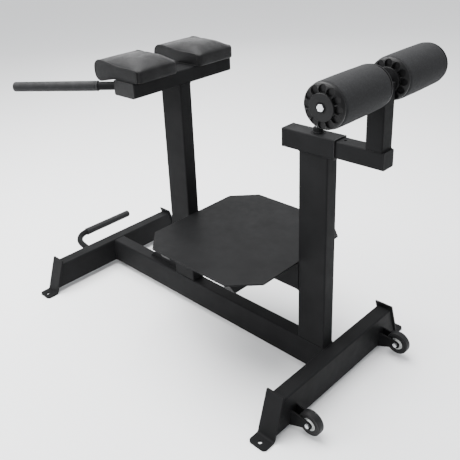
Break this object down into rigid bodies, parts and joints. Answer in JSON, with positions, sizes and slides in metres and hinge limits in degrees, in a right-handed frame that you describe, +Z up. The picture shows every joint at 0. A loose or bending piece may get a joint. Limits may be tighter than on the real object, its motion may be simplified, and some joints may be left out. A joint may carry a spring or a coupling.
{
  "type": "roman chair",
  "caption": "Roman chair for back extensions: split thigh pads and handles on a welded tube frame, foam ankle rollers on a sliding carriage, standing platform and transport wheels.",
  "frame": {"origin": "middle of the footprint (bounding box) on the floor", "axes": "+X along the main rail from the thigh pads towards the ankle rollers, +Y to the side of the right-hand pad, +Z up"},
  "size_m": [1.4892, 0.8596, 1.0645],
  "materials": {
    "frame_paint": "satin black powder coat",
    "platform_paint": "matte black powder coat",
    "cap_plastic": "moulded, lightly grained",
    "pad_cover": "black upholstery leatherette, fine grain, semi-gloss",
    "plywood": "raw",
    "zinc_steel": "bright zinc plate",
    "grip_rubber": "matte",
    "foam": "closed-cell foam skin, matte",
    "wheel_hub": "light grey moulding",
    "wheel_tyre": "matte"
  },
  "bodies": {
    "frame": {"main_rail": "frame_paint", "front_cross_tube": "frame_paint", "rear_cross_tube": "frame_paint", "front_left_foot": "frame_paint", "front_right_foot": "frame_paint", "rear_left_foot": "frame_paint", "rear_right_foot": "frame_paint", "front_upright": "frame_paint", "rear_upright": "frame_paint", "tie_tube": "frame_paint", "front_gusset": "frame_paint", "platform": "platform_paint", "front_arms": "frame_paint", "rear_arms": "frame_paint", "pad_beam": "frame_paint", "beam_caps": "cap_plastic", "left_pad": "pad_cover", "right_pad": "pad_cover", "left_pad_board": "plywood", "right_pad_board": "plywood", "pad_bolts": "zinc_steel", "pad_washers": "zinc_steel", "pad_tee_nuts": "zinc_steel", "left_handle_bar": "frame_paint", "right_handle_bar": "frame_paint", "left_grip": "grip_rubber", "right_grip": "grip_rubber", "lift_bar": "frame_paint", "lift_grip": "grip_rubber", "sleeve": "frame_paint", "sleeve_liners": "cap_plastic", "pin_boss": "frame_paint", "pin_barrel": "zinc_steel", "pin_spring": "zinc_steel", "left_fork": "frame_paint", "right_fork": "frame_paint", "wheel_bolts": "zinc_steel", "wheel_nuts": "zinc_steel"},
    "carriage": {"carriage_tube": "frame_paint", "carriage_plug": "cap_plastic", "carriage_end_plate": "frame_paint", "roller_post": "frame_paint", "roller_axle": "zinc_steel", "roller_washers": "frame_paint", "roller_bolts": "zinc_steel"},
    "pin": {"pin_plunger": "zinc_steel", "pin_knob": "cap_plastic"},
    "left_roller": {"left_roller_tube": "zinc_steel", "left_outer_cap": "cap_plastic", "left_inner_cap": "cap_plastic", "left_foam": "foam"},
    "right_roller": {"right_roller_tube": "zinc_steel", "right_outer_cap": "cap_plastic", "right_inner_cap": "cap_plastic", "right_foam": "foam"},
    "left_wheel": {"left_wheel": "wheel_hub", "left_tyre": "wheel_tyre"},
    "right_wheel": {"right_wheel": "wheel_hub", "right_tyre": "wheel_tyre"}
  },
  "joints": [
    {"name": "carriage_slide", "type": "slide", "parent": "frame", "child": "carriage", "axis": [1, 0, 0], "range_m": [-0.09, 0.045]},
    {"name": "pin_drop", "type": "slide", "parent": "frame", "child": "pin", "axis": [0, 0, 1], "range_m": [-0.01, 0], "stiffness_N_per_m": 300, "springref_m": -0.01, "deforming": ["pin_spring"]},
    {"name": "left_roller_spin", "type": "hinge", "parent": "carriage", "child": "left_roller", "pos_m": [0.68508, -0.14, 1.005], "axis": [0, 1, 0], "continuous": true},
    {"name": "right_roller_spin", "type": "hinge", "parent": "carriage", "child": "right_roller", "pos_m": [0.68508, 0.14, 1.005], "axis": [0, 1, 0], "continuous": true},
    {"name": "left_wheel_spin", "type": "hinge", "parent": "frame", "child": "left_wheel", "pos_m": [0.66208, -0.241, 0.05], "axis": [0, 1, 0], "continuous": true},
    {"name": "right_wheel_spin", "type": "hinge", "parent": "frame", "child": "right_wheel", "pos_m": [0.66208, 0.241, 0.05], "axis": [0, 1, 0], "continuous": true}
  ]
}
